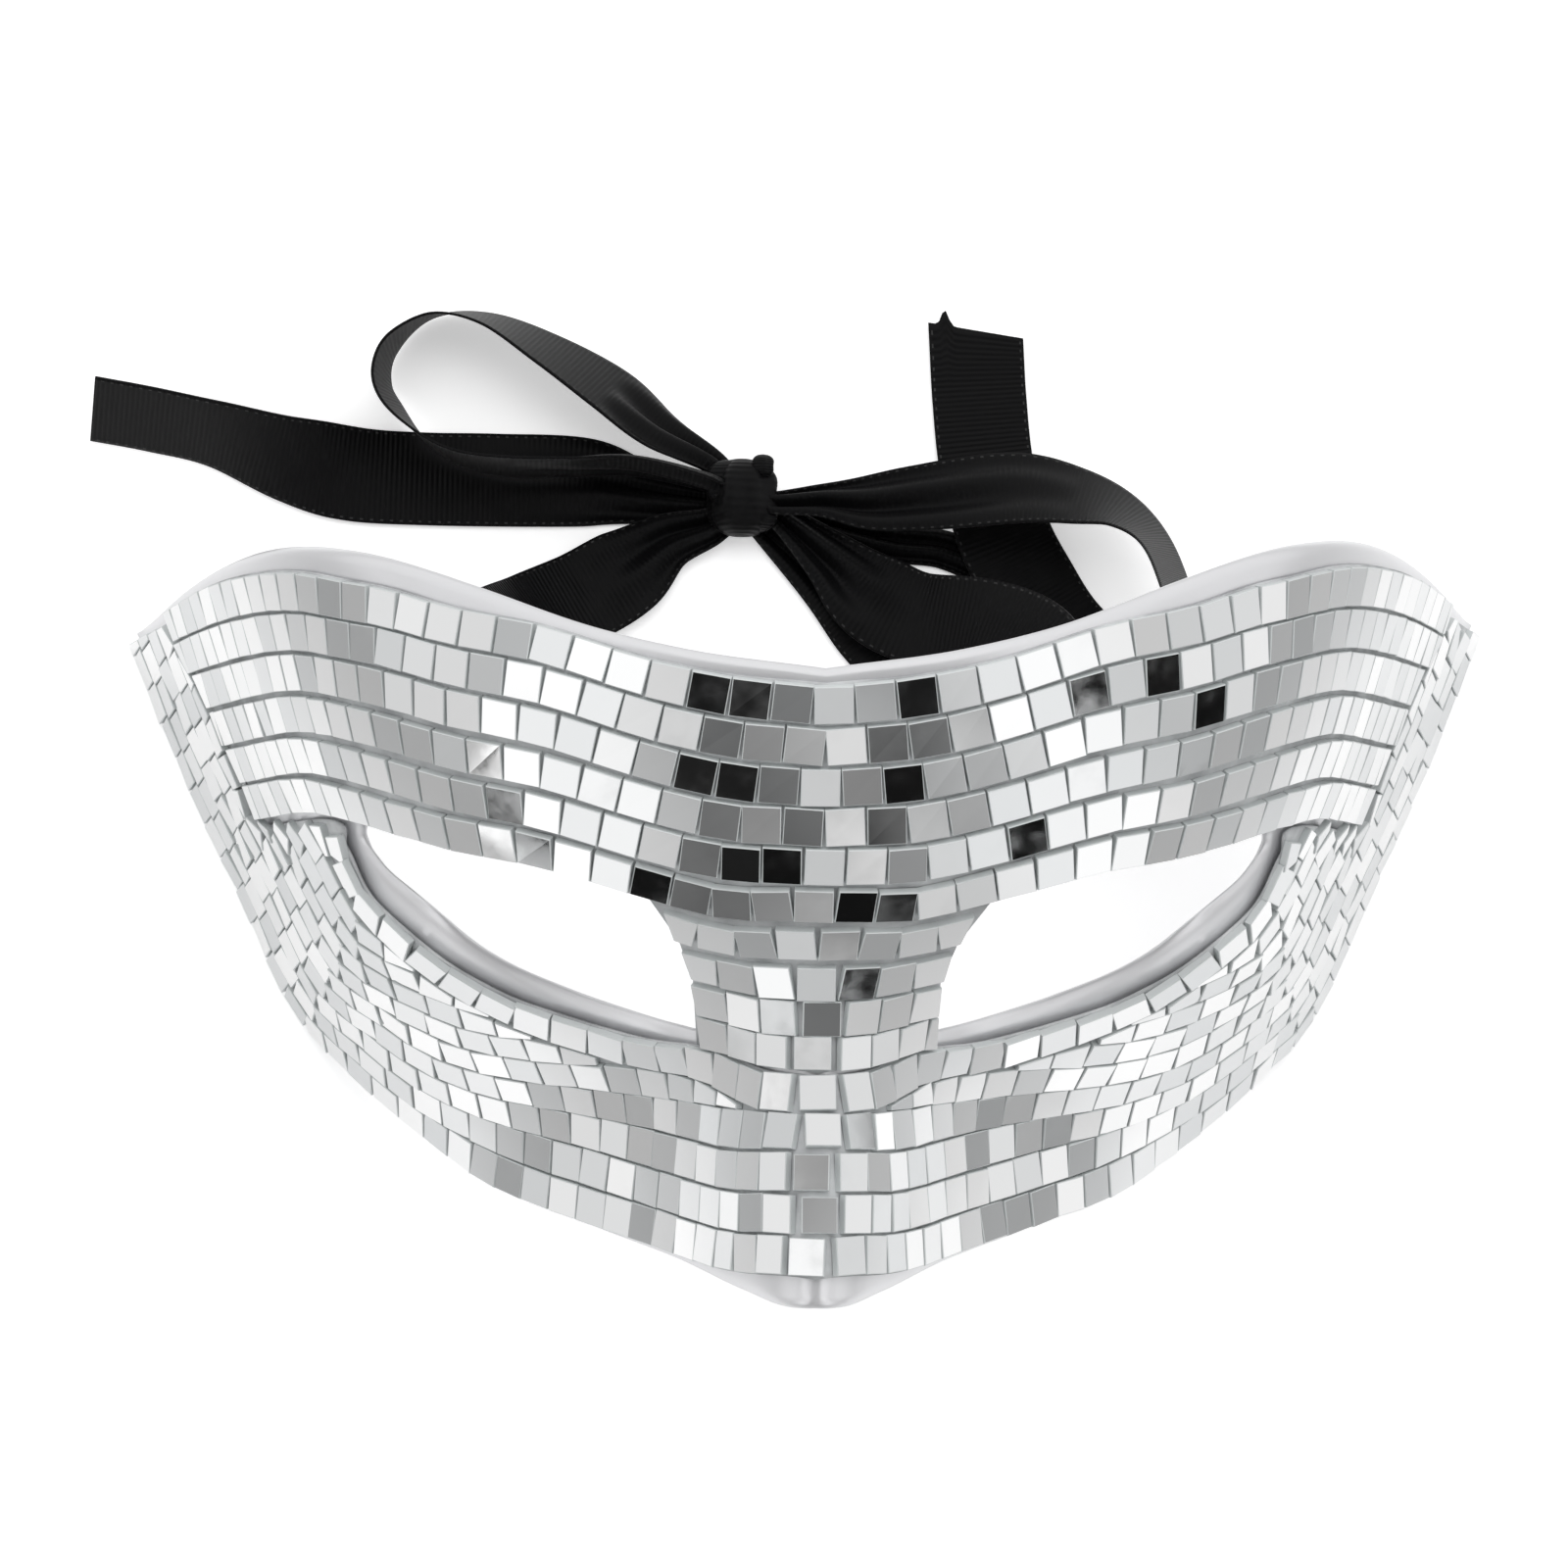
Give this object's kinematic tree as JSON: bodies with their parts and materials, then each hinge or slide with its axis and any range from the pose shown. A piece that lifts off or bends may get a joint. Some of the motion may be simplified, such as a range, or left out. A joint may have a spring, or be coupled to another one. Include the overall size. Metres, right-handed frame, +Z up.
{
  "type": "disco ball mask",
  "caption": "Half-face eye mask: a moulded silver shell covered in small square mirror tiles, with two woven ribbon ties knotted in a bow behind it.",
  "frame": {"origin": "under the middle of the object's bounding box, on the floor it lies on", "axes": "+X to the right temple as seen from above, +Y from the nose tip to the forehead and on to the bow, +Z up, out of the face"},
  "size_m": [0.1914, 0.1462, 0.1053],
  "materials": {
    "silver_plastic": "satin silver moulded plastic",
    "mirror_glass": "polished glass mirror tiles",
    "black_ribbon": "woven satin ribbon with fine cross ribs"
  },
  "bodies": {
    "root": {"mask_shell": "silver_plastic", "mirror_tiles_brow": "mirror_glass", "mirror_tiles_cheeks": "mirror_glass", "bow_knot": "black_ribbon", "bow_loop_left": "black_ribbon", "bow_loop_right": "black_ribbon", "ribbon_tail_left": "black_ribbon", "ribbon_tail_right": "black_ribbon", "ribbon_tie_left": "black_ribbon", "ribbon_tie_right": "black_ribbon"}
  },
  "joints": []
}
